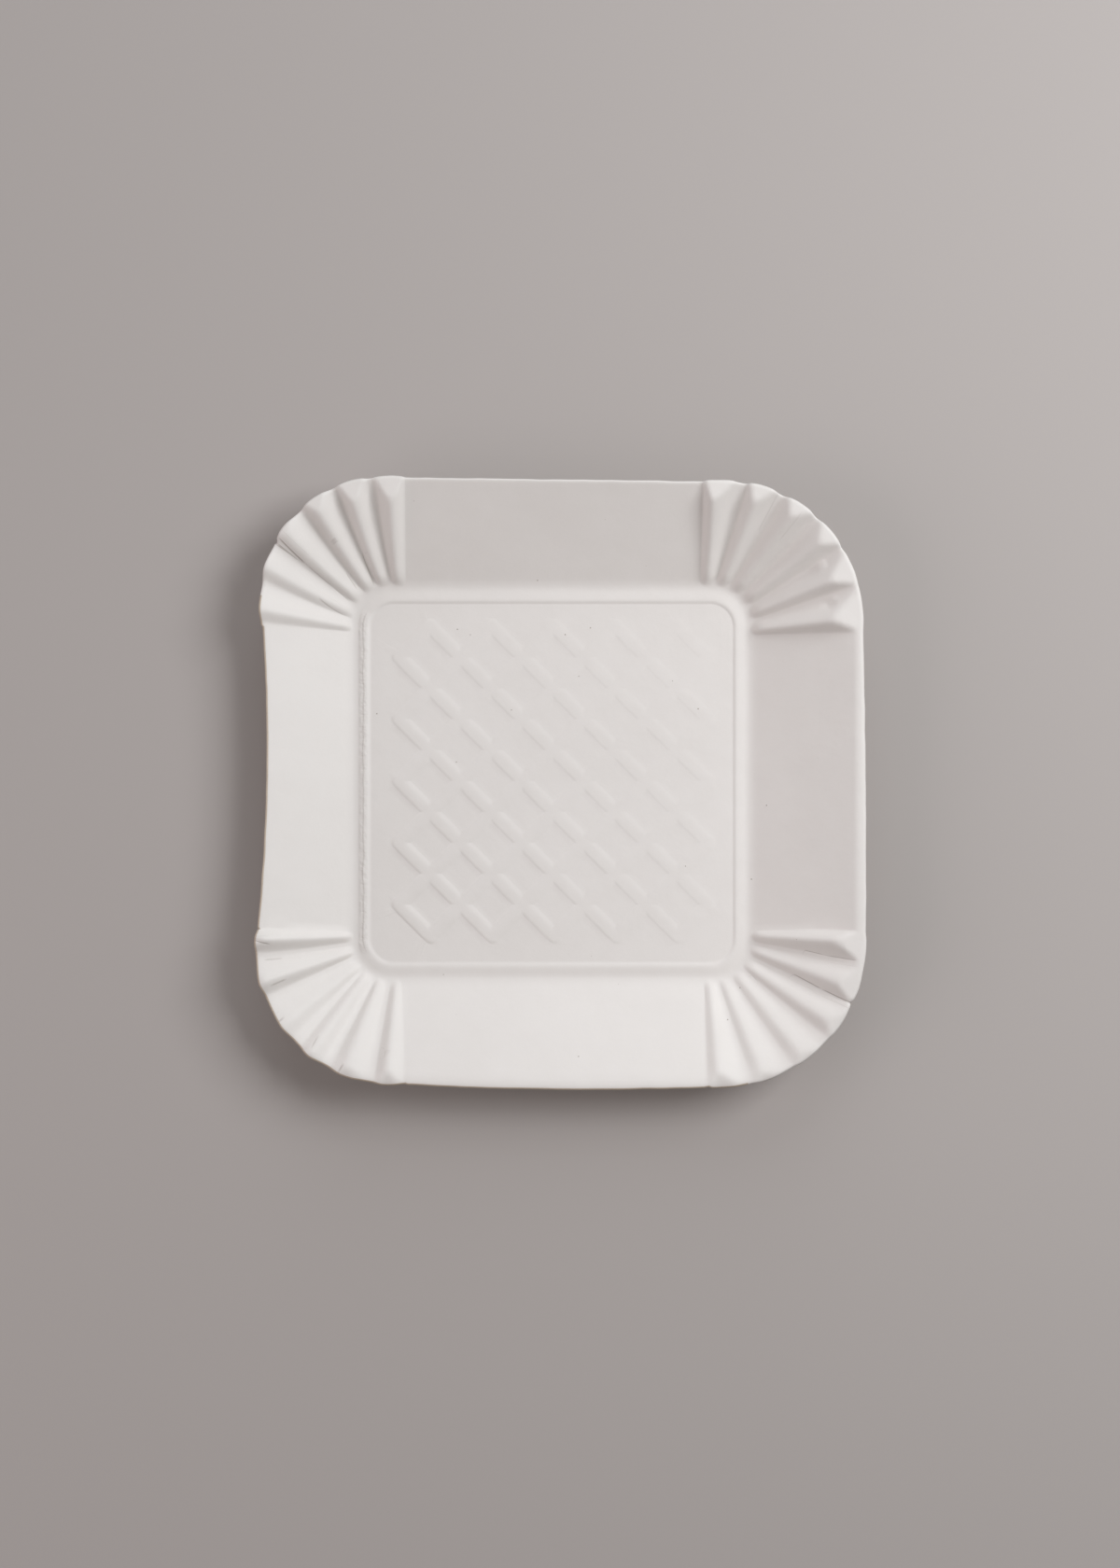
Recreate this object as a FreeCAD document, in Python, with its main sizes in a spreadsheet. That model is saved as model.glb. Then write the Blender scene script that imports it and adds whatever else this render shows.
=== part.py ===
import FreeCAD, Part
import Sketcher

import math
import os

# A square food tray pressed from one sheet of coated board, in millimetres.
#
# The board fills the gap between two matched dies. So the tray is what lies between one form and
# the same form raised by the board's thickness, cut off along the edge of the sheet.
# The origin is the middle of the foot's underside, on the ground, with +Z up, +X east, +Y north.

document = FreeCAD.newDocument("food_tray")

# ---------------------------------------------------------------------------------------------
# Driving dimensions
# ---------------------------------------------------------------------------------------------

DIMENSIONS = [
    # The sheet, and how far off centre it lay in the press.
    ("board_thickness", 0.5),
    ("rim_width", 176.3),
    ("rim_corner_radius", 40.0),
    ("rim_shift_east", 3.0),
    ("rim_shift_south", 0.3),
    # The wall, from its foot on the ground up to its shoulder under the flange. The width of
    # the flange is that of the east side, where the sheet reaches furthest past the shoulder.
    ("tray_height", 18.0),
    ("flange_width", 2.5),
    ("shoulder_corner_radius", 36.0),
    ("foot_width", 118.2),
    ("foot_corner_radius", 12.0),
    ("foot_bend_radius", 3.8),
    # The flutes that take up the spare board at each corner. A lead is how far the flutes run
    # on along the straight wall past each end of the round corner.
    ("flute_count", 6),
    ("flute_depth_at_foot", 0.6),
    ("flute_depth_at_shoulder", 2.0),
    ("flute_lead_at_foot", 3.0),
    ("flute_lead_at_shoulder", 9.5),
    # The bead that stiffens the edge of the base, just inside the foot of the wall.
    ("bead_gap", 0.9),
    ("bead_width", 4.7),
    ("bead_height", 0.42),
    ("bead_crest_offset", 1.1),
    ("bead_crest_radius", 0.8),
    # The lattice of crossing ridges embossed in the base, and how far off centre it is.
    ("diamonds_across", 5),
    ("lattice_margin", 7.4),
    ("lattice_shift_east", 0.7),
    ("lattice_shift_north", 0.5),
    ("lattice_ridge_width", 4.7),
    ("lattice_ridge_height", 0.3),
    ("lattice_flank_width", 1.2),
]

sizes = document.addObject("Spreadsheet::Sheet", "sizes")
for row, (alias, value) in enumerate(DIMENSIONS, start=1):
    sizes.set(f"A{row}", alias)
    sizes.set(f"B{row}", str(value))
    sizes.setAlias(f"B{row}", alias)
document.recompute()

# Where the main lines of the section lie, as expressions in those sizes.
FOOT_HALF = "sizes.foot_width / 2"
BEAD_OUTER_HALF = f"({FOOT_HALF} - sizes.bead_gap)"
BEAD_INNER_HALF = f"({BEAD_OUTER_HALF} - sizes.bead_width)"
BEAD_INNER_CORNER_RADIUS = "(sizes.foot_corner_radius - sizes.bead_gap - sizes.bead_width)"
LATTICE_PITCH = f"(({BEAD_INNER_HALF} - sizes.lattice_margin) / sizes.diamonds_across)"
SHOULDER_LEVEL = "(sizes.tray_height - sizes.board_thickness)"

UP = FreeCAD.Vector(0, 0, 1)
TRIM_ALLOWANCE = 5


def bind(feature, expressions):
    """Tie properties of a feature to the cells of the sheet."""
    for target, expression in expressions.items():
        feature.setExpression(target, expression)


# ---------------------------------------------------------------------------------------------
# The wall: level sections with fluted corners, lofted from the foot to the shoulder
# ---------------------------------------------------------------------------------------------

SPANS_PER_FLUTE = 6
SECTIONS_IN_BEND = 4


def wall_slope(run, rise):
    """The angle of the straight wall, which leaves the bend at the foot along its tangent."""
    rise_from_bend_centre = rise - sizes.foot_bend_radius
    reach = math.hypot(run, rise_from_bend_centre)
    return math.atan2(rise_from_bend_centre, run) + math.asin(sizes.foot_bend_radius / reach)


def between(at_foot, at_shoulder, fraction):
    """A size that grows evenly with the distance out from the foot."""
    return at_foot + (at_shoulder - at_foot) * fraction


def flute_curve(flute, half_width, corner_radius, lead, flute_depth):
    """One flute of the north-east corner at one level, from valley to valley over its ridge.

    The flutes follow a path with a straight lead, the round corner and another straight lead.
    """
    centre = half_width - corner_radius
    arc_length = corner_radius * math.pi / 2
    flute_width = (arc_length + 2 * lead) / sizes.flute_count
    points = []
    tangents = []
    for number in range(SPANS_PER_FLUTE + 1):
        along = number / SPANS_PER_FLUTE
        past_start = (flute + along) * flute_width - lead
        past_end = past_start - arc_length
        turn = min(max(past_start / corner_radius, 0), math.pi / 2)
        radius = corner_radius - flute_depth * (1 - math.cos(2 * math.pi * along)) / 2
        points.append(FreeCAD.Vector(
            centre + radius * math.cos(turn) - max(past_end, 0),
            centre + radius * math.sin(turn) + min(past_start, 0),
            0,
        ))
        tangents.append(FreeCAD.Vector(-math.sin(turn), math.cos(turn), 0) * flute_width)
    curve = Part.BSplineCurve()
    curve.interpolate(
        Points=points,
        Parameters=[number / SPANS_PER_FLUTE for number in range(SPANS_PER_FLUTE + 1)],
        InitialTangent=tangents[0],
        FinalTangent=tangents[-1],
    )
    return curve.toShape()


def level_section(name, level, half_width, corner_radius, lead, flute_depth):
    """A closed section of the wall at one level: four straight sides and four fluted corners."""
    straight_half = half_width - corner_radius - lead
    quarter_section = [Part.makeLine(
        FreeCAD.Vector(half_width, -straight_half, 0),
        FreeCAD.Vector(half_width, straight_half, 0),
    )]
    for flute in range(int(sizes.flute_count)):
        quarter_section.append(flute_curve(flute, half_width, corner_radius, lead, flute_depth))
    edges = []
    for quarter in range(4):
        for edge in quarter_section:
            turned = edge.copy()
            turned.rotate(FreeCAD.Vector(), UP, 90 * quarter)
            edges.append(turned)
    section = document.addObject("Part::Feature", name)
    section.Shape = Part.Wire(edges)
    section.Placement = FreeCAD.Placement(UP * level, FreeCAD.Rotation())
    return section


def wall_sections():
    """Sections up the bend at the foot, and one more at the shoulder."""
    foot_half = sizes.foot_width / 2
    run = sizes.rim_width / 2 + sizes.rim_shift_east - sizes.flange_width - foot_half
    rise = sizes.tray_height - sizes.board_thickness
    slope = wall_slope(run, rise)
    bend_run = sizes.foot_bend_radius * math.sin(slope)

    stations = []
    for number in range(SECTIONS_IN_BEND):
        turn = slope * number / (SECTIONS_IN_BEND - 1)
        out = sizes.foot_bend_radius * math.sin(turn)
        level = sizes.foot_bend_radius * (1 - math.cos(turn))
        stations.append((out, level, sizes.flute_depth_at_foot * out / bend_run))
    stations.append((run, rise, sizes.flute_depth_at_shoulder))

    sections = []
    for number, (out, level, flute_depth) in enumerate(stations):
        fraction = out / run
        sections.append(level_section(
            name=f"wall_section_{number}",
            level=level,
            half_width=foot_half + out,
            corner_radius=between(
                sizes.foot_corner_radius, sizes.shoulder_corner_radius, fraction),
            lead=between(sizes.flute_lead_at_foot, sizes.flute_lead_at_shoulder, fraction),
            flute_depth=flute_depth / math.sin(slope),
        ))
    return sections


wall_block = document.addObject("Part::Loft", "wall_block")
wall_block.Sections = wall_sections()
wall_block.Solid = True
wall_block.Ruled = True

# The flange lies level on top of the wall. Its block is wider than the sheet, which trims it.
flange_block = document.addObject("Part::Box", "flange_block")
bind(flange_block, {
    "Length": f"sizes.rim_width + 2 * sizes.rim_shift_east + {TRIM_ALLOWANCE}",
    "Width": f"sizes.rim_width + 2 * sizes.rim_shift_south + {TRIM_ALLOWANCE}",
    "Height": "sizes.board_thickness",
    "Placement.Base.x": "-Length / 2",
    "Placement.Base.y": "-Width / 2",
    "Placement.Base.z": SHOULDER_LEVEL,
})

# ---------------------------------------------------------------------------------------------
# The bead: a section swept round the edge of the base, pushed up from below
# ---------------------------------------------------------------------------------------------


def name_constraint(sketch, name, constraint, expression):
    """Add a dimension to a sketch and tie it to an expression."""
    index = sketch.addConstraint(constraint)
    sketch.renameConstraint(index, name)
    sketch.setExpression(f"Constraints.{name}", expression)


def rounded_square(name, corner_radius, east, north, west, south):
    """A sketch of a square with round corners, given by how far each side lies from the origin."""
    half = 50
    radius = 10
    centre = half - radius
    sketch = document.addObject("Sketcher::SketchObject", name)
    sides = []
    corners = []
    for quarter in range(4):
        turn = FreeCAD.Rotation(UP, 90 * quarter)
        side_start = turn.multVec(FreeCAD.Vector(half, -centre, 0))
        side_end = turn.multVec(FreeCAD.Vector(half, centre, 0))
        circle = Part.Circle(turn.multVec(FreeCAD.Vector(centre, centre, 0)), UP, radius)
        angle = quarter * math.pi / 2
        arc = Part.ArcOfCircle(circle, angle, angle + math.pi / 2)
        sides.append(sketch.addGeometry(Part.LineSegment(side_start, side_end), False))
        corners.append(sketch.addGeometry(arc, False))

    for quarter in range(4):
        corner = corners[quarter]
        next_side = sides[(quarter + 1) % 4]
        direction = "Vertical" if quarter % 2 == 0 else "Horizontal"
        sketch.addConstraint(Sketcher.Constraint(direction, sides[quarter]))
        sketch.addConstraint(Sketcher.Constraint("Tangent", sides[quarter], 2, corner, 1))
        sketch.addConstraint(Sketcher.Constraint("Tangent", corner, 2, next_side, 1))
    for corner in corners[1:]:
        sketch.addConstraint(Sketcher.Constraint("Equal", corners[0], corner))

    name_constraint(sketch, "corner_radius", Sketcher.Constraint("Radius", corners[0], radius),
                    corner_radius)
    name_constraint(sketch, "east", Sketcher.Constraint("DistanceX", -1, 1, sides[0], 1, half),
                    east)
    name_constraint(sketch, "north", Sketcher.Constraint("DistanceY", -1, 1, sides[1], 1, half),
                    north)
    name_constraint(sketch, "west", Sketcher.Constraint("DistanceX", sides[2], 1, -1, 1, half),
                    west)
    name_constraint(sketch, "south", Sketcher.Constraint("DistanceY", sides[3], 1, -1, 1, half),
                    south)
    return sketch


bead_path = rounded_square(
    "bead_path",
    corner_radius=BEAD_INNER_CORNER_RADIUS,
    east=BEAD_INNER_HALF,
    north=BEAD_INNER_HALF,
    west=BEAD_INNER_HALF,
    south=BEAD_INNER_HALF,
)

# Its section stands on the ground: a short step up from the base, a round crest, and a long
# slope down towards the foot of the wall.
bead_section = document.addObject("Sketcher::SketchObject", "bead_section")
bead_section.Placement = FreeCAD.Placement(
    FreeCAD.Vector(), FreeCAD.Rotation(FreeCAD.Vector(1, 0, 0), 90))
STEP, CREST, SLOPE, GROUND = range(4)
inner_foot = FreeCAD.Vector(53, 0, 0)
crest_start = FreeCAD.Vector(54, 1, 0)
crest_middle = FreeCAD.Vector(55, 2, 0)
crest_end = FreeCAD.Vector(56, 1, 0)
outer_foot = FreeCAD.Vector(58, 0, 0)
bead_section.addGeometry([
    Part.LineSegment(inner_foot, crest_start),
    Part.Arc(crest_start, crest_middle, crest_end),
    Part.LineSegment(crest_end, outer_foot),
    Part.LineSegment(outer_foot, inner_foot),
], False)
bead_section.addConstraint([
    Sketcher.Constraint("Tangent", STEP, 2, CREST, 2),
    Sketcher.Constraint("Tangent", CREST, 1, SLOPE, 1),
    Sketcher.Constraint("Coincident", SLOPE, 2, GROUND, 1),
    Sketcher.Constraint("Coincident", GROUND, 2, STEP, 1),
    Sketcher.Constraint("PointOnObject", STEP, 1, -1),
    Sketcher.Constraint("PointOnObject", SLOPE, 2, -1),
])
name_constraint(
    bead_section, "inner", Sketcher.Constraint("DistanceX", -1, 1, STEP, 1, 53), BEAD_INNER_HALF)
name_constraint(
    bead_section, "outer", Sketcher.Constraint("DistanceX", -1, 1, SLOPE, 2, 58), BEAD_OUTER_HALF)
name_constraint(
    bead_section, "crest_radius", Sketcher.Constraint("Radius", CREST, 1),
    "sizes.bead_crest_radius")
name_constraint(
    bead_section, "crest", Sketcher.Constraint("DistanceX", STEP, 1, CREST, 3, 2),
    "sizes.bead_crest_offset")
name_constraint(
    bead_section, "depth", Sketcher.Constraint("DistanceY", CREST, 3, -1, 1, 0.1),
    "sizes.bead_crest_radius - sizes.bead_height")

bead = document.addObject("Part::Sweep", "bead")
bead.Sections = [bead_section]
bead.Spine = (bead_path, [f"Edge{number}" for number in range(1, 9)])
bead.Solid = True

# ---------------------------------------------------------------------------------------------
# The lattice: two families of ridges that cross at right angles, on the diagonals of the base
# ---------------------------------------------------------------------------------------------


def lattice_ridge(name, spans, offset, heading):
    """A ridge with a flat top and four sloping flanks, whose middle line covers so many spans.

    The offset, in half diamonds east and north, places its middle in the lattice.
    """
    east, north = offset
    ridge = document.addObject("Part::Wedge", name)
    ridge.Placement.Rotation = FreeCAD.Rotation(heading, 0, 90)
    length = f"({spans} * {LATTICE_PITCH} * sqrt(2) + sizes.lattice_ridge_width)"
    bind(ridge, {
        "Xmin": f"-{length} / 2",
        "Xmax": f"{length} / 2",
        "X2min": f"-{length} / 2 + sizes.lattice_flank_width",
        "X2max": f"{length} / 2 - sizes.lattice_flank_width",
        "Zmin": "-sizes.lattice_ridge_width / 2",
        "Zmax": "sizes.lattice_ridge_width / 2",
        "Z2min": "-sizes.lattice_ridge_width / 2 + sizes.lattice_flank_width",
        "Z2max": "sizes.lattice_ridge_width / 2 - sizes.lattice_flank_width",
        "Ymin": "0",
        "Ymax": "sizes.lattice_ridge_height",
        "Placement.Base.x": f"{east} * {LATTICE_PITCH} + sizes.lattice_shift_east",
        "Placement.Base.y": f"{north} * {LATTICE_PITCH} + sizes.lattice_shift_north",
    })
    return ridge


lattice_ridges = []
ridges_each_way = 2 * int(sizes.diamonds_across)
for number in range(ridges_each_way):
    along = number + 0.5 - ridges_each_way / 2
    spans = min(2 * number + 1, 2 * (ridges_each_way - number) - 1)
    lattice_ridges += [
        lattice_ridge(f"ridge_falling_{number}", spans, (along, along), -45),
        lattice_ridge(f"ridge_rising_{number}", spans, (along, -along), 45),
    ]

# ---------------------------------------------------------------------------------------------
# The die's form, the board between two such forms, and the cut edge of the sheet
# ---------------------------------------------------------------------------------------------

outer_form = document.addObject("Part::MultiFuse", "outer_form")
outer_form.Shapes = [wall_block, flange_block]

relief = document.addObject("Part::MultiFuse", "relief")
relief.Shapes = [bead] + lattice_ridges

lower_form = document.addObject("Part::Cut", "lower_form")
lower_form.Base = outer_form
lower_form.Tool = relief

raised_form = document.addObject("Part::Compound", "raised_form")
raised_form.Links = [lower_form]
raised_form.setExpression("Placement.Base.z", "sizes.board_thickness")

pressed_board = document.addObject("Part::Cut", "pressed_board")
pressed_board.Base = lower_form
pressed_board.Tool = raised_form

sheet_outline = rounded_square(
    "sheet_outline",
    corner_radius="sizes.rim_corner_radius",
    east="sizes.rim_width / 2 + sizes.rim_shift_east",
    north="sizes.rim_width / 2 - sizes.rim_shift_south",
    west="sizes.rim_width / 2 - sizes.rim_shift_east",
    south="sizes.rim_width / 2 + sizes.rim_shift_south",
)
sheet_outline.Placement.Base.z = -TRIM_ALLOWANCE

trim_block = document.addObject("Part::Extrusion", "trim_block")
trim_block.Base = sheet_outline
trim_block.DirMode = "Custom"
trim_block.Dir = UP
trim_block.Solid = True
trim_block.setExpression("LengthFwd", f"sizes.tray_height + {2 * TRIM_ALLOWANCE}")

food_tray = document.addObject("Part::Common", "food_tray")
food_tray.Label = "food_tray"
food_tray.Base = pressed_board
food_tray.Tool = trim_block

document.recompute()

SUB_PARTS = [food_tray]

for item in document.Objects:
    if "Invalid" in item.State or "Error" in item.State:
        raise RuntimeError(f"{item.Name} failed to recompute: {item.State}")
for sub_part in SUB_PARTS:
    if sub_part.Shape.isNull() or not sub_part.Shape.isValid():
        raise RuntimeError(f"{sub_part.Label} has no valid shape")
    if len(sub_part.Shape.Solids) != 1:
        raise RuntimeError(f"{sub_part.Label} is not one piece of board")

os.makedirs("parts", exist_ok=True)
for sub_part in SUB_PARTS:
    sub_part.Shape.exportStep(f"parts/{sub_part.Label}.step")
    print(f"{sub_part.Label}: {sub_part.Shape.Volume:.0f} cubic millimetres of board")
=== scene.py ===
import math

import bmesh
import bpy
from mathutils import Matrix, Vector, noise


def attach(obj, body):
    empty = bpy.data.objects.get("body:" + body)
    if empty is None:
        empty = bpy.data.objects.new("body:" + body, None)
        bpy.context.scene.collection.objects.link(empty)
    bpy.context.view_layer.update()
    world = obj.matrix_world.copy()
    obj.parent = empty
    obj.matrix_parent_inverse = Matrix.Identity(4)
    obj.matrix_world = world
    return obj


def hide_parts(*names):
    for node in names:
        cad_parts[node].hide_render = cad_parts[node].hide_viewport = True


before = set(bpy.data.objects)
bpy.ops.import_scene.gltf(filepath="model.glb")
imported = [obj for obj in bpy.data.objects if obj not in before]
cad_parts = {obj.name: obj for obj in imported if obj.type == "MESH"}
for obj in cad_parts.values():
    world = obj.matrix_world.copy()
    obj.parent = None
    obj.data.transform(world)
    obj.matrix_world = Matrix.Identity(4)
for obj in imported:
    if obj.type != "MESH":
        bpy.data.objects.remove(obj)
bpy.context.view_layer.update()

# --------------------------------------------------------------------------------------------
# Base panel. The middle of a sheet of white coated board, pressed flat between heated dies and
# embossed with low rounded ridges that cross in diamonds and hold food clear of its own grease.
# The tray is worked in millimetres, as the underside of its board, and made metres at the end.
# --------------------------------------------------------------------------------------------

DIAMONDS_ACROSS = 5
HALF_DIAMOND = 9.22
LATTICE_CENTRE = Vector((0.7, 0.5, 0.0))
LATTICE_BORDER = 3.4
LATTICE_BORDER_FADE = 1.0
RIDGE_PITCH = HALF_DIAMOND * math.sqrt(2.0)

# A ridge in section, as distances from its middle. One flank starts further out than the other
# and so falls more steeply. A low crown lies over both, and is highest a little to one side.
RIDGE_HEIGHT = 0.30
RIDGE_FOOT_HALF_WIDTH = 2.4
RIDGE_STEEP_TOP = 1.6
RIDGE_EASY_TOP = 0.15
RIDGE_CROWN = 0.42
RIDGE_CROWN_SHIFT = 0.7

# The lines of the mesh across one ridge and the flat beside it, from the middle of the ridge.
RIDGE_LINES = (-2.4, -2.1, -1.8, -1.5, -1.1, -0.5, 0.5, 1.1, 1.5, 1.8, 2.1, 2.4, 3.8, 5.4, 7.0, 8.8)

# The dies closed harder in the south-west, so the ridges are over 0.4 mm high there and fade to
# under 0.1 mm in the north-east. In the middle they are this share of their height.
RIDGE_PRESS = 0.53
RIDGE_FADE_EAST = 0.0140
RIDGE_FADE_NORTH = 0.0085


def line_place(number):
    """How far from the middle of the lattice a numbered line of its mesh lies."""
    ridge, line = divmod(number, len(RIDGE_LINES))
    return (ridge - DIAMONDS_ACROSS + 0.5) * RIDGE_PITCH + RIDGE_LINES[line]


def smooth_step(value, start, end):
    """0 before start, 1 after end, and an even swing between them."""
    part = min(max((value - start) / (end - start), 0.0), 1.0)
    return part * part * (3.0 - 2.0 * part)


def ridge_family(across, along):
    """How high one family of parallel ridges lifts a point: a steep flank and an easy one."""
    outermost = (2 * DIAMONDS_ACROSS - 1) / 2
    number = min(max(math.floor(across / RIDGE_PITCH) + 0.5, -outermost), outermost)
    middle = number * RIDGE_PITCH
    off = across - middle
    length_half = DIAMONDS_ACROSS * RIDGE_PITCH - abs(middle)
    past_end = max(abs(along) - length_half, 0.0)
    distance = math.hypot(off, past_end)
    top = RIDGE_STEEP_TOP if off < 0.0 else RIDGE_EASY_TOP
    flanks = 1.0 - smooth_step(distance, top, RIDGE_FOOT_HALF_WIDTH)
    side = math.copysign(1.0, off - RIDGE_CROWN_SHIFT)
    crown_reach = RIDGE_FOOT_HALF_WIDTH - side * RIDGE_CROWN_SHIFT
    crown_off = math.hypot(off - RIDGE_CROWN_SHIFT, past_end)
    crown = max(1.0 - (crown_off / crown_reach) ** 2, 0.0)
    return RIDGE_HEIGHT * (flanks * (1.0 - RIDGE_CROWN) + crown * RIDGE_CROWN)


cells = 2 * DIAMONDS_ACROSS * len(RIDGE_LINES) - 1
lattice_half = DIAMONDS_ACROSS * HALF_DIAMOND + LATTICE_BORDER
board = bmesh.new()
bmesh.ops.create_grid(board, x_segments=cells, y_segments=cells, size=0.5)
for vertex in board.verts:
    falling = line_place(round((vertex.co.x + 0.5) * cells))
    rising = line_place(round((vertex.co.y + 0.5) * cells))
    east = (rising + falling) / math.sqrt(2.0)
    north = (rising - falling) / math.sqrt(2.0)
    pressed = RIDGE_PRESS * math.exp(-RIDGE_FADE_EAST * east - RIDGE_FADE_NORTH * north)
    lift = max(ridge_family(rising, falling), ridge_family(falling, rising)) * pressed
    lift *= smooth_step(lattice_half - max(abs(east), abs(north)), 0.0, LATTICE_BORDER_FADE)
    vertex.co = LATTICE_CENTRE + Vector((east, north, lift))

# The mesh of the lattice stands on a corner, so what lies outside the upright square goes.
outside = [vertex for vertex in board.verts
           if max(abs(vertex.co.x - LATTICE_CENTRE.x), abs(vertex.co.y - LATTICE_CENTRE.y))
           > lattice_half]
bmesh.ops.delete(board, geom=outside, context="VERTS")
lattice_border = [edge for edge in board.edges if edge.is_boundary]

# --------------------------------------------------------------------------------------------
# Wall and bead. The same board, drawn up round the base into four straight walls, with a low
# bead pressed inside the foot of the wall. A column of vertices runs from the bead to the rim;
# columns are numbered anticlockwise and each side's are followed by those of its far corner.
# --------------------------------------------------------------------------------------------

BOARD = 0.5
SIDES = ("east", "north", "west", "south")
FOOT_HALF = {"east": 59.4, "north": 58.8, "west": 59.4, "south": 58.8}
FOOT_CORNER_RADIUS = 11.5
SHOULDER_RUN = 29.3
SHOULDER_CORNER_RADIUS = 36.0
SHOULDER_LEVEL = 18.0 - BOARD
FOOT_ROUNDING = 1.2
QUADS_PER_SIDE = 40
QUADS_PER_FLUTE = 18
FLUTES = 6

# The bead in section, as distances out from the foot of the wall: its inner step is steepest
# on the east and easiest on the south.
BEAD_INNER_EDGE = {"east": -5.4, "north": -5.6, "west": -5.6, "south": -5.6}
BEAD_CREST = {"east": -4.5, "north": -4.4, "west": -3.9, "south": -3.8}
BEAD_OUTER_EDGE = -0.9
BEAD_HEIGHT = 0.42
BEAD_CREST_ROUNDING = 0.12
BEAD_FOOT_ROUNDING = 0.1

# How each wall meets the flange: how far out, over how long a bend, and how far its lip then
# curls down.
WALL_RUN = {"east": 29.3, "north": 30.6, "west": 30.2, "south": 29.3}
SHOULDER_ROUNDING = {"east": 0.5, "north": 0.3, "west": 4.0, "south": 2.0}
CREST_ROUNDING = 0.6
LIP_CURL = {"east": 0.0, "north": 0.0, "west": 0.1, "south": 0.35}
LIP_WIDTH = 2.5

# How far the tops of the flutes slope away outward on each side, and from where they do.
CREST_FALL = {"east": 0.0, "north": 0.0, "west": 0.7, "south": 0.8}
CREST_FALL_START = 22.0
CREST_FALL_RUN = 7.0

# The knife bruises the edge of the sheet and rounds it over.
EDGE_ROLL = 0.22
EDGE_ROLL_WIDTH = 0.5

quads_per_corner = FLUTES * QUADS_PER_FLUTE
quads_per_quarter = QUADS_PER_SIDE + quads_per_corner


def soft_min(one, other, reach):
    """The lower of two heights, with the crease between them rounded over the reach."""
    blend = max(reach - abs(one - other), 0.0) / reach
    return min(one, other) - blend * blend * reach / 4.0


def soft_max(one, other, reach):
    """The higher of two heights, with the crease between them rounded over the reach."""
    return -soft_min(-one, -other, reach)


def by_side(values, outward):
    """A value that differs from wall to wall, blended evenly round the corners."""
    east_or_west = values["east"] if outward.x > 0.0 else values["west"]
    north_or_south = values["north"] if outward.y > 0.0 else values["south"]
    return east_or_west * outward.x ** 2 + north_or_south * outward.y ** 2


def bead_level(out, outward):
    """The bead in section: a steep step, a round crest and a long slope down to the foot."""
    crest = by_side(BEAD_CREST, outward)
    step = BEAD_HEIGHT * smooth_step(out, by_side(BEAD_INNER_EDGE, outward), crest)
    slope = BEAD_HEIGHT * (BEAD_OUTER_EDGE - out) / (BEAD_OUTER_EDGE - crest)
    return soft_max(soft_min(step, slope, BEAD_CREST_ROUNDING), 0.0, BEAD_FOOT_ROUNDING)


# --------------------------------------------------------------------------------------------
# Flutes. Six ridges at each corner, drawn up out of the walls as the die gathers the board that
# would otherwise be spare. Each ridge fans out from the foot to the rim and meets the flange
# further in than the wall does. The corners differ, because the board gathers as it pleases.
# --------------------------------------------------------------------------------------------

FLUTE_DEPTH_AT_FOOT = 1.25
FLUTE_DEPTH_AT_SHOULDER = 3.5
FLUTE_START_RUN = 3.0
FOOT_RIDGE_WIDTH = 4.1
RIM_RIDGE_WIDTH = 12.8

# The corners in turn from the north-east: how far the flutes run on along the wall before and
# after each, at the rim and at the foot; how wide each ridge is against the others at the rim;
# where in its share of the corner each ridge starts, crests and ends, and how deep it is; and
# how far, between the foot and the rim, its crest and its valleys wander across that share.
CORNERS = (
    {"leads": (9.3, 9.0), "foot_leads": (3.4, 3.9), "widths": (1.10, 1.0, 0.95, 1.0, 1.0, 0.97),
     "ridges": ((0.07, 0.36, 1.0, 1.35), (0.08, 0.42, 1.0, 1.3), (0.04, 0.46, 1.0, 1.0),
                (0.0, 0.50, 0.97, 1.1), (0.0, 0.55, 0.93, 1.25), (0.0, 0.66, 0.97, 1.35)),
     "wanders": ((0.0, 0.0), (-0.1, 0.0), (0.0, 0.0), (0.1, 0.0), (0.15, -0.05), (0.25, 0.0))},
    {"leads": (10.1, 6.4), "foot_leads": (4.5, 2.7), "widths": (0.9, 0.9, 0.97, 1.09, 1.02, 1.12),
     "ridges": ((-0.02, 0.46, 0.94, 1.35), (0.0, 0.56, 0.96, 1.35), (0.0, 0.57, 0.96, 1.15),
                (0.0, 0.60, 0.97, 0.95), (0.0, 0.61, 0.95, 0.65), (0.0, 0.60, 0.92, 0.7)),
     "wanders": ((-0.2, -0.1), (-0.15, -0.1), (-0.05, -0.05), (-0.05, 0.0), (-0.1, -0.15),
                 (0.0, 0.0))},
    {"leads": (10.5, 10.9), "foot_leads": (2.8, 3.0), "widths": (0.61, 1.16, 1.41, 0.81, 1.2, 0.8),
     "ridges": ((0.0, 0.40, 0.88, 1.1), (0.0, 0.56, 0.86, 0.95), (0.0, 0.55, 0.90, 0.55),
                (0.08, 0.42, 1.0, 0.8), (0.10, 0.42, 1.0, 0.9), (0.12, 0.50, 1.0, 0.8)),
     "wanders": ((0.15, 0.3), (0.2, 0.2), (0.0, 0.0), (0.0, 0.0), (-0.05, -0.05), (-0.3, -0.2))},
    {"leads": (9.2, 10.3), "foot_leads": (3.0, 3.0), "widths": (1.08, 1.05, 1.03, 1.03, 1.03, 0.78),
     "ridges": ((0.10, 0.42, 1.0, 0.7), (0.10, 0.43, 1.0, 0.5), (0.09, 0.45, 1.0, 0.5),
                (0.13, 0.47, 1.0, 0.65), (0.13, 0.48, 1.0, 0.9), (0.12, 0.62, 1.0, 1.15)),
     "wanders": ((-0.1, 0.0), (-0.1, -0.05), (-0.1, -0.05), (-0.05, -0.1), (-0.25, -0.25),
                 (-0.1, -0.3))},
)

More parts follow.
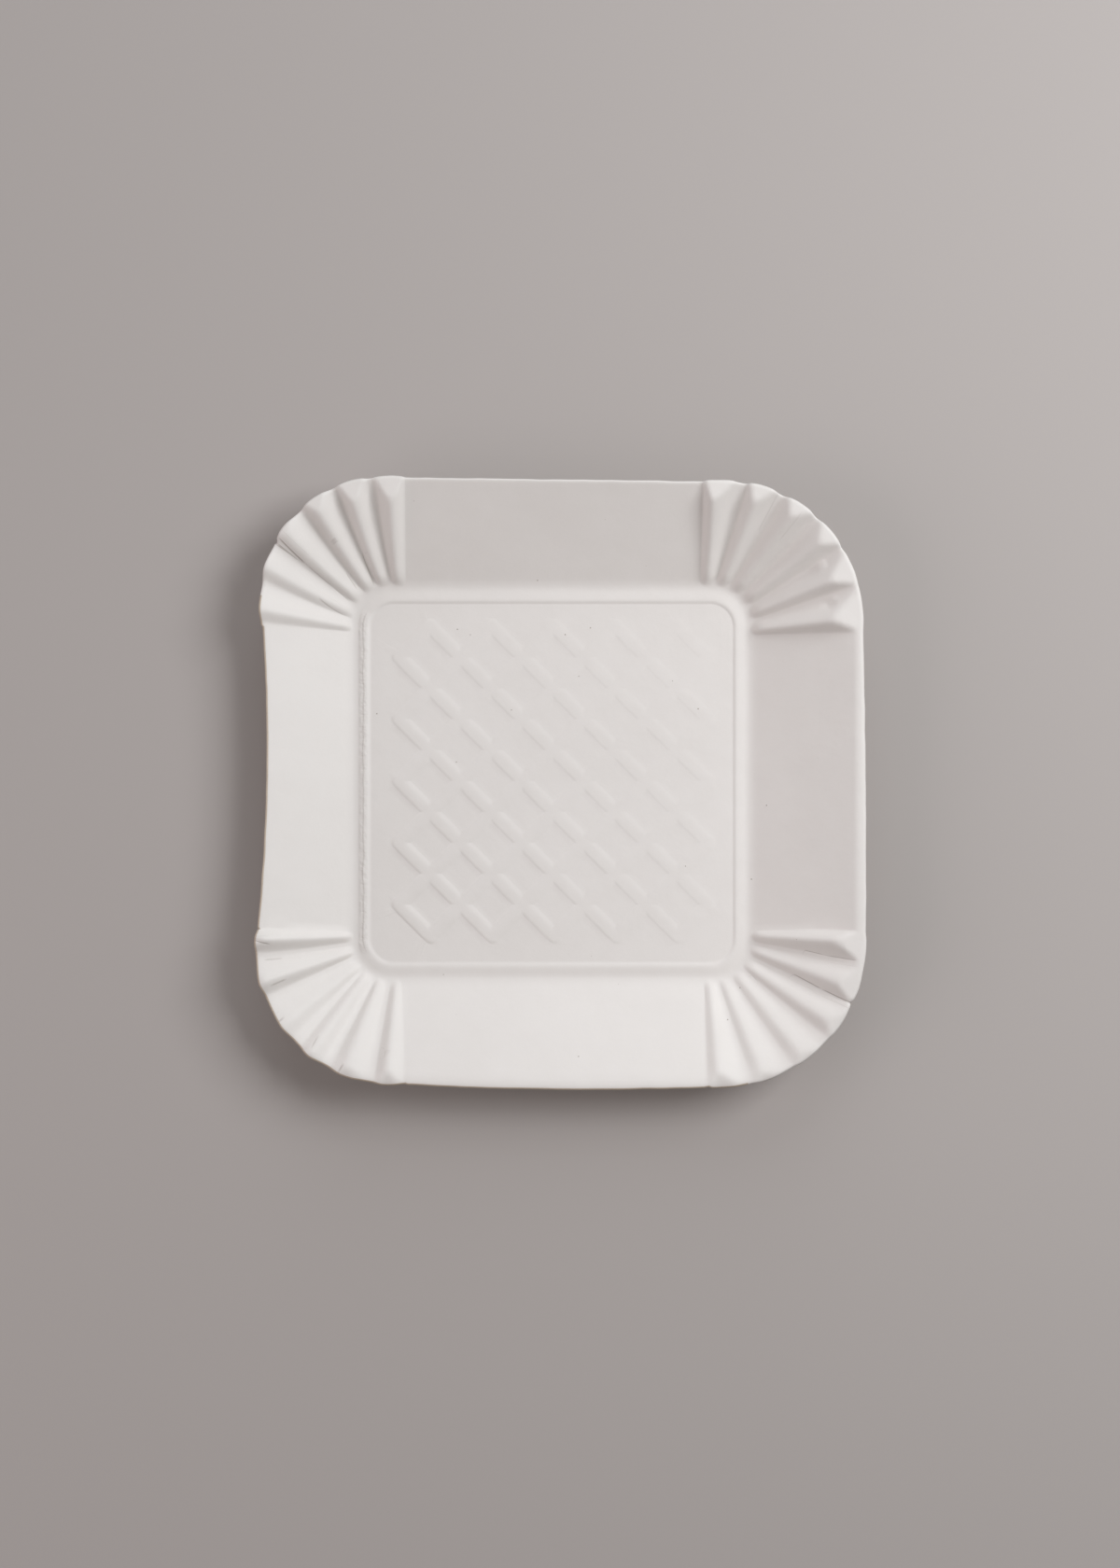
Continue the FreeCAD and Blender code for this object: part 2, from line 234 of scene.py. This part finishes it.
# The flank of a ridge lies this far from a straight slope towards an even swing. Crests and
# valleys wander to one side below this share of the way out, and to the other above it.
STEEPNESS_OF_BEND = 0.8
WANDER_MIDDLE = 0.55

# The flutes go on fanning out past the shoulder, as far as this many times its run.
FAN_REACH = 1.2


def ridge_start(corner, number, part):
    """How far round a corner, from 0 to 1, a ridge starts: evenly at the foot, less so out."""
    widths = corner["widths"]
    uneven = sum(widths[:number]) / sum(widths)
    return number / FLUTES + (uneven - number / FLUTES) * part


def lead(corner, end, part):
    """How far a corner's flutes run on along the wall before it (end 0) or after it (end 1)."""
    at_foot = corner["foot_leads"][end]
    return at_foot + (corner["leads"][end] - at_foot) * part


def plan_place(column, out):
    """Where a column passes, seen from above, at a distance out from the foot, and outward."""
    side, number = divmod(column, quads_per_quarter)
    before, after = CORNERS[side - 1], CORNERS[side]
    part = min(max(out / SHOULDER_RUN, 0.0), FAN_REACH)
    radius = FOOT_CORNER_RADIUS + (SHOULDER_CORNER_RADIUS - FOOT_CORNER_RADIUS) * out / SHOULDER_RUN
    near_lead = lead(before, 1, part)
    first_lead = lead(after, 0, part)
    last_lead = lead(after, 1, part)
    reach = FOOT_HALF[SIDES[side]] + out
    along = FOOT_HALF[SIDES[(side + 1) % 4]] + out
    if number <= QUADS_PER_SIDE:
        start = near_lead + radius - along
        end = along - radius - first_lead
        place = Vector((reach, start + (end - start) * number / QUADS_PER_SIDE, 0.0))
        outward = Vector((1.0, 0.0, 0.0))
    else:
        ridge, across = divmod(number - QUADS_PER_SIDE, QUADS_PER_FLUTE)
        share = ridge_start(after, ridge, part)
        if across:
            width = ridge_start(after, ridge + 1, part) - share
            share += width * across / QUADS_PER_FLUTE
        distance = (first_lead + radius * math.pi / 2 + last_lead) * share - first_lead
        turn = min(max(distance / radius, 0.0), math.pi / 2)
        outward = Vector((math.cos(turn), math.sin(turn), 0.0))
        place = Vector((reach - radius, along - radius, 0.0)) + outward * radius
        place.y += min(distance, 0.0)
        place.x -= max(distance - radius * math.pi / 2, 0.0)
    for _ in range(side):
        place = Vector((-place.y, place.x, 0.0))
        outward = Vector((-outward.y, outward.x, 0.0))
    return place, outward


def flute_shape(column, part):
    """From 0 in the valleys to 1 along a ridge's crest, and that ridge's depth."""
    side, number = divmod(column, quads_per_quarter)
    if number <= QUADS_PER_SIDE:
        return 0.0, 0.0
    ridge, across = divmod(number - QUADS_PER_SIDE, QUADS_PER_FLUTE)
    share = across / QUADS_PER_FLUTE
    start, crest, end, depth = CORNERS[side]["ridges"][ridge]
    crest_wander, valley_wander = CORNERS[side]["wanders"][ridge]
    crest += crest_wander * (part - WANDER_MIDDLE)
    start = max(start + valley_wander * (part - WANDER_MIDDLE), 0.0)
    end = min(end + valley_wander * (part - WANDER_MIDDLE), 1.0)
    rise = min(max((share - start) / (crest - start), 0.0), 1.0)
    fall = min(max((end - share) / (end - crest), 0.0), 1.0)
    climb = min(rise, fall)
    bent = smooth_step(climb, 0.0, 1.0)
    return climb + (bent - climb) * STEEPNESS_OF_BEND, depth


# Creases where spare board folded on itself. Each has the corner it is in, where it starts and
# ends, as ridges passed round the corner and the distance out from the foot, and its depth.
CREASES = (
    (0, (3.38, 27.0), (3.38, 17.0), 0.05),
    (0, (4.13, 28.5), (4.12, 17.0), 0.07),
    (1, (1.88, 10.5), (2.22, 1.0), 0.16),
    (1, (3.04, 8.5), (3.25, 2.5), 0.13),
    (1, (3.75, 26.5), (3.82, 17.0), 0.30),
    (1, (3.92, 26.5), (3.86, 18.0), 0.22),
    (1, (3.82, 17.0), (3.89, 8.0), 0.16),
    (1, (3.89, 8.0), (4.06, 2.5), 0.16),
    (1, (4.65, 10.5), (4.97, 2.5), 0.18),
    (2, (0.50, 27.5), (0.58, 22.5), 0.30),
    (2, (1.15, 25.0), (1.15, 19.5), 0.13),
    (2, (1.72, 24.0), (1.66, 19.0), 0.16),
    (2, (2.47, 26.5), (2.45, 23.5), 0.16),
    (2, (3.40, 24.5), (3.36, 20.5), 0.13),
    (2, (4.30, 27.0), (4.36, 24.0), 0.20),
    (2, (5.33, 22.0), (5.40, 18.5), 0.14),
    (3, (3.10, 6.5), (3.28, 3.0), 0.10),
    (3, (4.05, 31.0), (4.11, 21.5), 0.42),
    (3, (4.11, 21.5), (4.25, 12.5), 0.26),
    (3, (5.02, 29.5), (5.08, 21.0), 0.20),
    (3, (5.08, 21.0), (5.20, 14.5), 0.20),
)
CREASE_FADE = 1.2
CREASE_REACH = 2.0
# How dark the painted shade along a crease grows with its depth.
CREASE_DARKNESS = 3.2

# Small round dents, as corner, ridges passed, distance out, radius, depth and painted shade:
# how dark the dent is painted for its shade. A dent of negative depth is a bump, pushed up
# from below.
DENTS = (
    (0, 1.90, 22.0, 2.2, -0.60, 0.0),
    (0, 0.76, 21.6, 2.3, 0.65, 0.0),
    (0, 0.92, 23.2, 1.3, -0.45, 0.0),
    (1, 2.62, 16.0, 1.2, 0.20, 0.45),
    (2, 5.42, 20.0, 1.0, 0.16, 0.2),
)


def ridges_passed(column):
    """The corner that a column belongs to, and how many of its ridges it has passed."""
    corner, number = divmod(column, quads_per_quarter)
    return corner, (number - QUADS_PER_SIDE) / QUADS_PER_FLUTE


def crease_at(column, out, ridge_width):
    """How far past the nearest crease a point lies, its painted shade, and its depth."""
    corner, passed = ridges_passed(column)
    nearest, strength, sink = CREASE_REACH, 0.0, 0.0
    for crease_corner, (passed_start, out_start), (passed_end, out_end), depth in CREASES:
        if corner != crease_corner or not out_end < out < out_start:
            continue
        share = (out_start - out) / (out_start - out_end)
        off = passed - passed_start - (passed_end - passed_start) * share
        fade = min((out_start - out) / CREASE_FADE, (out - out_end) / CREASE_FADE, 1.0)
        if abs(off * ridge_width) < abs(nearest):
            nearest = off * ridge_width
            strength = fade * min(depth * CREASE_DARKNESS, 1.0)
            sink = depth * fade * max(1.0 - abs(off) * QUADS_PER_FLUTE, 0.0)
    return nearest, strength, sink


def dent_at(column, out, ridge_width):
    """How far a small round dent sinks the board, and how dark it is painted for its shade."""
    corner, passed = ridges_passed(column)
    sink, dent_shade = 0.0, 0.0
    for dent_corner, dent_passed, dent_out, radius, depth, painted_shade in DENTS:
        if corner == dent_corner:
            away = math.hypot((passed - dent_passed) * ridge_width, out - dent_out) / radius
            sink += depth * max(1.0 - away * away, 0.0) ** 2
            dent_shade += painted_shade * max(1.0 - away * away, 0.0)
    return sink, dent_shade


UNEVENNESS = 0.16
UNEVEN_PATCH = 16.0
FINE_UNEVENNESS = 0.04
FINE_UNEVEN_PATCH = 4.5
UNEVEN_FROM = 1.0
UNEVEN_IN_FULL = 8.0


def unevenness(place, out):
    """How far the wall strays from its true shape, because damp board dries unevenly."""
    stray = UNEVENNESS * noise.noise(place / UNEVEN_PATCH)
    stray += FINE_UNEVENNESS * noise.noise(place / FINE_UNEVEN_PATCH)
    return stray * smooth_step(out, UNEVEN_FROM, UNEVEN_IN_FULL)


def wall_level(column, out, edge, outward):
    """The height of the pressed board at a distance out from the foot of the wall."""
    part = min(max(out / SHOULDER_RUN, 0.0), 1.0)
    depth = FLUTE_DEPTH_AT_FOOT + (FLUTE_DEPTH_AT_SHOULDER - FLUTE_DEPTH_AT_FOOT) * part
    depth *= smooth_step(out, 0.0, FLUTE_START_RUN)
    slope = SHOULDER_LEVEL / by_side(WALL_RUN, outward)
    crest, ridge_depth = flute_shape(column, part)
    wall = soft_max(0.0, out * slope, FOOT_ROUNDING) + depth * ridge_depth * crest
    rounding = by_side(SHOULDER_ROUNDING, outward) * (1.0 - crest) + CREST_ROUNDING * crest
    wall = soft_min(wall, SHOULDER_LEVEL, rounding)
    fall = max(out - CREST_FALL_START, 0.0) / CREST_FALL_RUN
    curl = max(out - edge + LIP_WIDTH, 0.0) / LIP_WIDTH
    roll = max(out - edge + EDGE_ROLL_WIDTH, 0.0) / EDGE_ROLL_WIDTH
    wall -= by_side(CREST_FALL, outward) * crest * fall
    wall -= by_side(LIP_CURL, outward) * curl * curl + EDGE_ROLL * roll * roll
    return wall + bead_level(out, outward)


# --------------------------------------------------------------------------------------------
# Edge of the sheet. The board is cut to its outline before it is pressed, and slips in the die,
# so the rim lies further out on the east than on the west and each side of it bows a little.
# --------------------------------------------------------------------------------------------

# Each side's distance from the middle of the base at its start, middle and end, anticlockwise,
# and the radius of each corner in turn from the north-east.
SHEET_EDGE = {
    "east": (91.0, 91.0, 90.2),
    "north": (87.6, 88.2, 88.8),
    "west": (84.9, 83.4, 86.3),
    "south": (87.6, 89.1, 88.4),
}
SHEET_CORNER_RADIUS = (40.5, 36.3, 40.0, 42.0)

# The cut edge is looked for between these two distances out, by halving.
NEAREST_EDGE = SHOULDER_RUN * 0.7
FURTHEST_EDGE = SHOULDER_RUN * 1.4
HALVINGS = 30


def past_edge(place, side):
    """How far outside the sheet's outline a place beside a wall or its far corner is."""
    for _ in range(side):
        place = Vector((place.y, -place.x, 0.0))
    start, middle, end = SHEET_EDGE[SIDES[side]]
    before, after = SHEET_CORNER_RADIUS[side - 1], SHEET_CORNER_RADIUS[side]
    bottom = before - SHEET_EDGE[SIDES[side - 1]][2]
    top = SHEET_EDGE[SIDES[(side + 1) % 4]][0] - after
    if place.y > top and place.x > end - after:
        return math.hypot(place.x - end + after, place.y - top) - after
    if place.x < place.y:
        return place.y - top - after
    share = min(max((place.y - bottom) / (top - bottom), 0.0), 1.0)
    bow = (4.0 * middle - 2.0 * start - 2.0 * end) * share * (1.0 - share)
    return place.x - (start + (end - start) * share + bow)


def edge_run(column):
    """How far out from the foot a column meets the cut edge of the sheet."""
    near, far = NEAREST_EDGE, FURTHEST_EDGE
    for _ in range(HALVINGS):
        middle = (near + far) / 2
        if past_edge(plan_place(column, middle)[0], column // quads_per_quarter) < 0.0:
            near = middle
        else:
            far = middle
    return near


# Rings of vertices: over the bead at these distances out, then up the wall, then close together
# over the last millimetres to the rim.
BEAD_STATIONS = (-5.9, -5.6, -5.25, -4.95, -4.65, -4.3, -3.8, -3.1, -2.4, -1.7, -1.1, -0.6,
                 0.0, 0.6, 1.2, 1.9, 2.7)
WALL_STATIONS = 18
RIM_STATIONS = 15
RIM_ZONE = 6.0
last_station = len(BEAD_STATIONS) + WALL_STATIONS + RIM_STATIONS - 1

column_of = board.verts.layers.int.new("column")
station_of = board.verts.layers.int.new("station")
# How dark each vertex is painted, as shade in a crease, the crack or a dent.
past_crease_of = board.verts.layers.float.new("past_crease")
crease_shade_strength_of = board.verts.layers.float.new("crease_shade_strength")
crinkle_of = board.verts.layers.float.new("crinkle")
for vertex in board.verts:
    vertex[station_of] = -1
first_loop = bmesh.ops.create_circle(
    board, radius=FOOT_HALF["north"] + BEAD_STATIONS[0], segments=4 * quads_per_quarter)["verts"]
for column, vertex in enumerate(first_loop):
    vertex[column_of] = column
    vertex[station_of] = 0
bead_border = [edge for edge in board.edges if edge.is_wire]
rim = bead_border
for station in range(1, last_station + 1):
    grown = bmesh.ops.extrude_edge_only(board, edges=rim)["geom"]
    for item in grown:
        if isinstance(item, bmesh.types.BMVert):
            item[station_of] = station
    rim = [item for item in grown if isinstance(item, bmesh.types.BMEdge)
           and min(vertex[station_of] for vertex in item.verts) == station]

# Small nicks in the rim, as corner, ridges passed, half width and depth. Between them the rim
# stands out a little at each ridge and strays a little everywhere.
NICKS = (
    (1, 3.86, 0.8, 0.7),
    (1, 6.25, 0.9, 0.4),
    (2, 0.10, 0.9, 0.5),
    (3, 0.15, 0.8, 0.35),
    (3, 4.06, 1.0, 0.6),
)
SCALLOP = 0.2
SCALLOP_MIDDLE = 0.3
RIM_STRAY = 0.14
RIM_STRAY_LENGTH = 6.0


def rim_stray(column, place):
    """How far the cut edge strays from the sheet's outline: out at the ridges, in at nicks."""
    stray = RIM_STRAY * noise.noise(place / RIM_STRAY_LENGTH)
    stray += SCALLOP * (flute_shape(column, 1.0)[0] - SCALLOP_MIDDLE)
    corner, passed = ridges_passed(column)
    for nick_corner, nick_passed, half_width, depth in NICKS:
        if corner == nick_corner:
            near = 1.0 - abs(passed - nick_passed) * RIM_RIDGE_WIDTH / half_width
            stray -= depth * max(near, 0.0)
    return stray


# The west bead cracked along its outer slope, in a line that wanders a little, and crinkled
# there. Both die out where the wall starts to turn round the corner. The crack is only painted,
# as a dark line of shade; the crinkles are bumps.
CRACK_OUT = -3.2
CRACK_WANDER = 0.4
CRACK_WANDER_LENGTH = 6.0
CRACK_SHADE_STRENGTH = 0.42
CRINKLE_HALF_WIDTH = 1.5
CRINKLE_TURN = 0.85


def past_crack(place, out):
    """How far past the crack along the west bead a point lies."""
    wander = noise.noise(Vector((0.0, place.y / CRACK_WANDER_LENGTH, 0.0)))
    return out - CRACK_OUT - CRACK_WANDER * wander


def crinkle(out, outward):
    """How much the board is crinkled: only in a narrow band along the west bead."""
    band = max(1.0 - ((out - CRACK_OUT) / CRINKLE_HALF_WIDTH) ** 2, 0.0)
    return band * smooth_step(-outward.x, CRINKLE_TURN, 1.0)


edges = []
for column in range(4 * quads_per_quarter):
    edge = edge_run(column)
    edges.append(edge + rim_stray(column, plan_place(column, edge)[0]))
for vertex in board.verts:
    station, column = vertex[station_of], vertex[column_of]
    if station < 0:
        continue
    edge = edges[column]
    rim_start = edge - RIM_ZONE
    if station < len(BEAD_STATIONS):
        out = BEAD_STATIONS[station]
    elif station < len(BEAD_STATIONS) + WALL_STATIONS:
        part = (station - len(BEAD_STATIONS) + 1) / WALL_STATIONS
        out = BEAD_STATIONS[-1] + (rim_start - BEAD_STATIONS[-1]) * part
    else:
        part = (station - len(BEAD_STATIONS) - WALL_STATIONS + 1) / RIM_STATIONS
        out = rim_start + RIM_ZONE * part
    place, outward = plan_place(column, out)
    ridge_width = FOOT_RIDGE_WIDTH + (RIM_RIDGE_WIDTH - FOOT_RIDGE_WIDTH) * out / SHOULDER_RUN
    past_crease, strength, sink = crease_at(column, out, ridge_width)
    dent, dent_shade = dent_at(column, out, ridge_width)
    sink += dent
    # A dent given painted shade is darkened all over.
    if dent_shade > 0.0:
        past_crease, strength = 0.0, dent_shade
    vertex.co = place
    vertex.co.z = wall_level(column, out, edge, outward) + unevenness(place, out) - sink
    crinkled = crinkle(out, outward)
    # Along the west bead the painted shade follows the crack in place of a crease.
    if crinkled > 0.0:
        past_crease, strength = past_crack(place, out), CRACK_SHADE_STRENGTH * crinkled
    vertex[past_crease_of] = past_crease
    vertex[crease_shade_strength_of] = strength
    vertex[crinkle_of] = crinkled

# On the west and south, the side away from the main light, the outermost strip of the food side
# is given the darker cut-edge finish as painted shade; the cut edge itself has this colour for
# real. The strip lies where the sum of the two places, east and north, is under this many metres.
EDGE_SHADE_WITHIN = -0.03
SLIVER = 0.01
METRES_PER_MM = 0.001
CUT_EDGE_AND_EDGE_SHADE = 2

bmesh.ops.triangle_fill(board, use_beauty=True, edges=lattice_border + bead_border)
bmesh.ops.dissolve_degenerate(board, dist=SLIVER, edges=board.edges)
bmesh.ops.recalc_face_normals(board, faces=board.faces)
bmesh.ops.scale(board, verts=board.verts, vec=Vector((METRES_PER_MM,) * 3))
for face in board.faces:
    # Only the level strip between the lattice and the bead is in triangles: it stays flat.
    face.smooth = len(face.verts) > 3
    middle = face.calc_center_median()
    at_edge = max(vertex[station_of] for vertex in face.verts) == last_station
    # Painted shade: the darker cut-edge finish on the outer strip of the west and south.
    if at_edge and middle.x + middle.y < EDGE_SHADE_WITHIN:
        face.material_index = CUT_EDGE_AND_EDGE_SHADE
tray_mesh = bpy.data.meshes.new("tray_board")
board.to_mesh(tray_mesh)
board.free()
tray = bpy.data.objects.new("tray_board", tray_mesh)
bpy.context.collection.objects.link(tray)

thickness = tray.modifiers.new("board", "SOLIDIFY")
thickness.thickness = BOARD * METRES_PER_MM
thickness.offset = 1.0
thickness.material_offset = 1
thickness.material_offset_rim = CUT_EDGE_AND_EDGE_SHADE


# Clouds in the pulp 40 mm across, denser patches of 6 mm and fibres under half a millimetre, as
# noise scale and detail, with how much each adds to the tone of the board.
BROAD_CLOUDS, BROAD_SHARE = (26.0, 2.0), 0.45
PATCHES, PATCH_SHARE = (170.0, 3.0), 0.25
FIBRES, FIBRE_SHARE = (2600.0, 4.0), 0.30
TONE_FROM, TONE_TO = 0.33, 0.67

# Flecks of bark and soot, under half a millimetre across and far apart. The pulp is thought of
# as cells of 4 mm, most of them clean; a fleck's radius is a share of its cell.
FLECK_CELLS_PER_METRE = 250.0
CLEAN_CELLS = 0.86
FLECK_RADIUS = 0.055
FLECK_COLOUR = (0.30, 0.24, 0.20, 1.0)
FLECK_DARKNESS = 0.7

# Painted shade darkens the board along each crease and the west crack, about a third of a
# millimetre to each side, and over the dents that are darkened.
CREASE_CORE = 0.08
CREASE_HALF_WIDTH = 0.34
CREASE_SHADE_COLOUR = (0.36, 0.31, 0.28, 1.0)
CREASE_SHADE_COVER = 0.75

# The coating's gloss varies with the patches. Heights below are in metres.
GLOSS_SPREAD = 0.06
SWELL_HEIGHT = 0.00022
CRINKLES = (600.0, 2.0)
CRINKLE_HEIGHT = 0.0005
BUMP_STRENGTH = 0.5


def paper_finish(name, colour, shade, roughness, grain_depth, creases_show):
    """White food board: faint clouds of denser fibre, a few flecks, and a fine grain."""
    finish = bpy.data.materials.new(name)
    finish.use_nodes = True
    nodes, links = finish.node_tree.nodes, finish.node_tree.links
    shader = nodes["Principled BSDF"]
    place = nodes.new("ShaderNodeTexCoord")

    def cloud(scale, detail):
        """Soft noise that is fixed to the sheet."""
        node = nodes.new("ShaderNodeTexNoise")
        node.inputs["Scale"].default_value = scale
        node.inputs["Detail"].default_value = detail
        links.new(place.outputs["Object"], node.inputs["Vector"])
        return node.outputs["Fac"]

    def sums(operation, one, other=None, third=None):
        """The result of one sum on values or on other nodes' results."""
        node = nodes.new("ShaderNodeMath")
        node.operation = operation
        for socket, value in zip(node.inputs, (one, other, third)):
            if isinstance(value, float):
                socket.default_value = value
            elif value is not None:
                links.new(value, socket)
        return node.outputs[0]

    def blend(base, top_colour, cover):
        """A colour laid over another as far as the cover says."""
        node = nodes.new("ShaderNodeMix")
        node.data_type = "RGBA"
        node.inputs["B"].default_value = top_colour
        if isinstance(base, tuple):
            node.inputs["A"].default_value = base
        else:
            links.new(base, node.inputs["A"])
        links.new(cover, node.inputs["Factor"])
        return node.outputs["Result"]

    def attribute(attribute_name):
        """A value that the sheet's mesh carries."""
        node = nodes.new("ShaderNodeAttribute")
        node.attribute_name = attribute_name
        return node.outputs["Fac"]

    def bump(height, distance, strength):
        """A bump of a given height in metres."""
        node = nodes.new("ShaderNodeBump")
        node.inputs["Strength"].default_value = strength
        node.inputs["Distance"].default_value = distance
        links.new(height, node.inputs["Height"])
        return node

    patches = cloud(*PATCHES)
    fibres = cloud(*FIBRES)
    density = sums("MULTIPLY_ADD", cloud(*BROAD_CLOUDS), BROAD_SHARE, 0.0)
    density = sums("MULTIPLY_ADD", patches, PATCH_SHARE, density)
    density = sums("MULTIPLY_ADD", fibres, FIBRE_SHARE, density)
    tone = nodes.new("ShaderNodeMapRange")
    tone.inputs["From Min"].default_value = TONE_FROM
    tone.inputs["From Max"].default_value = TONE_TO
    links.new(density, tone.inputs["Value"])
    painted = blend((*shade, 1.0), (*colour, 1.0), tone.outputs["Result"])

    fleck = nodes.new("ShaderNodeTexVoronoi")
    fleck.inputs["Scale"].default_value = FLECK_CELLS_PER_METRE
    fleck.inputs["Randomness"].default_value = 1.0
    links.new(place.outputs["Object"], fleck.inputs["Vector"])
    rarity = nodes.new("ShaderNodeSeparateColor")
    links.new(fleck.outputs["Color"], rarity.inputs["Color"])
    is_rare = sums("GREATER_THAN", rarity.outputs["Red"], CLEAN_CELLS)
    is_near = sums("LESS_THAN", fleck.outputs["Distance"], FLECK_RADIUS)
    flecked = sums("MULTIPLY", sums("MULTIPLY", is_rare, is_near), FLECK_DARKNESS)
    painted = blend(painted, FLECK_COLOUR, flecked)

    # Painted shade: a dark line along each crease and the crack, and dark dents.
    if creases_show:
        line = nodes.new("ShaderNodeMapRange")
        line.interpolation_type = "SMOOTHSTEP"
        line.inputs["From Min"].default_value = CREASE_CORE
        line.inputs["From Max"].default_value = CREASE_HALF_WIDTH
        line.inputs["To Min"].default_value = 1.0
        line.inputs["To Max"].default_value = 0.0
        links.new(sums("ABSOLUTE", attribute("past_crease")), line.inputs["Value"])
        painted_crease_shade = sums("MULTIPLY", line.outputs["Result"], attribute("crease_shade_strength"))
        painted = blend(painted, CREASE_SHADE_COLOUR, sums("MULTIPLY", painted_crease_shade, CREASE_SHADE_COVER))
    links.new(painted, shader.inputs["Base Color"])

    gloss = nodes.new("ShaderNodeMapRange")
    gloss.inputs["To Min"].default_value = roughness - GLOSS_SPREAD
    gloss.inputs["To Max"].default_value = roughness + GLOSS_SPREAD
    links.new(patches, gloss.inputs["Value"])
    links.new(gloss.outputs["Result"], shader.inputs["Roughness"])

    grain = bump(fibres, grain_depth, BUMP_STRENGTH)
    swell = bump(patches, SWELL_HEIGHT, BUMP_STRENGTH)
    links.new(swell.outputs["Normal"], grain.inputs["Normal"])
    links.new(grain.outputs["Normal"], shader.inputs["Normal"])
    if creases_show:
        crinkled = sums("MULTIPLY", cloud(*CRINKLES), attribute("crinkle"))
        folds = bump(crinkled, CRINKLE_HEIGHT, 1.0)
        links.new(folds.outputs["Normal"], swell.inputs["Normal"])
    return finish


# The sheet is clay-coated on the food side only. Its back is bare board, and its cut edge
# shows the greyer middle ply, whose finish is also laid on the food side's west and south rim
# as painted shade.
bare_back = paper_finish(
    "bare_back", (0.74, 0.70, 0.66), (0.68, 0.64, 0.59), 0.85, 0.00006, False)
coated_board = paper_finish(
    "coated_board", (0.815, 0.781, 0.757), (0.785, 0.750, 0.724), 0.56, 0.000022, True)
cut_edge_and_edge_shade = paper_finish(
    "cut_edge_and_edge_shade", (0.66, 0.57, 0.47), (0.50, 0.42, 0.34), 0.9, 0.00008, False)
for finish in (coated_board, bare_back, cut_edge_and_edge_shade):
    tray_mesh.materials.append(finish)
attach(tray, "root")
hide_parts("food_tray")

# --------------------------------------------------------------------------------------------
# Floor, light and camera. A plain matt floor lies under the tray, a hair lower so that the two
# don't share a plane. The main light stands in the east-north-east, about half way up. A cool
# window lights the tray from the north, and a pinkish wall throws light back from the west. The
# camera looks straight down.
# --------------------------------------------------------------------------------------------

FLOOR_LEVEL = -0.0002
FLOOR_HALF = 3.0
FLOOR_COLOUR = (0.46, 0.425, 0.41, 1.0)

floor_mesh = bpy.data.meshes.new("floor")
floor_shape = bmesh.new()
bmesh.ops.create_grid(floor_shape, x_segments=1, y_segments=1, size=FLOOR_HALF)
bmesh.ops.translate(floor_shape, verts=floor_shape.verts, vec=Vector((0.0, 0.0, FLOOR_LEVEL)))
floor_shape.to_mesh(floor_mesh)
floor_shape.free()
floor = bpy.data.objects.new("floor", floor_mesh)
bpy.context.collection.objects.link(floor)
floor_paint = bpy.data.materials.new("floor_paint")
floor_paint.use_nodes = True
floor_shader = floor_paint.node_tree.nodes["Principled BSDF"]
floor_shader.inputs["Base Color"].default_value = FLOOR_COLOUR
floor_shader.inputs["Roughness"].default_value = 0.9
floor_mesh.materials.append(floor_paint)


def soft_lamp(name, place, size, power, colour):
    """A soft square lamp that shines on the middle of the tray."""
    data = bpy.data.lights.new(name, "AREA")
    data.size = size
    data.energy = power
    data.color = colour
    lamp = bpy.data.objects.new(name, data)
    lamp.location = place
    lamp.rotation_euler = (-Vector(place)).to_track_quat("-Z", "Y").to_euler()
    bpy.context.collection.objects.link(lamp)


soft_lamp("key_lamp", place=(0.56, 0.28, 0.60), size=0.45, power=5.4,
          colour=(0.975, 0.99, 1.007))
soft_lamp("north_window", place=(0.0, 1.1, 0.55), size=0.8, power=3.4,
          colour=(0.94, 1.0, 1.05))
soft_lamp("west_wall", place=(-0.9, -0.25, 0.45), size=0.8, power=3.6,
          colour=(1.0, 0.90, 0.925))

world = bpy.data.worlds.new("studio")
world.use_nodes = True
background = world.node_tree.nodes["Background"]
background.inputs["Color"].default_value = (1.0, 0.96, 0.9, 1.0)
background.inputs["Strength"].default_value = 0.20
bpy.context.scene.world = world

CAMERA_PLACE = (0.0024, -0.0004, 0.65)
camera_data = bpy.data.cameras.new("camera")
camera_data.sensor_fit = "VERTICAL"
camera_data.sensor_height = 36.0
camera_data.lens = 50.0
camera = bpy.data.objects.new("camera", camera_data)
camera.location = CAMERA_PLACE
bpy.context.collection.objects.link(camera)
bpy.context.scene.camera = camera

bpy.context.scene.view_settings.view_transform = "Standard"
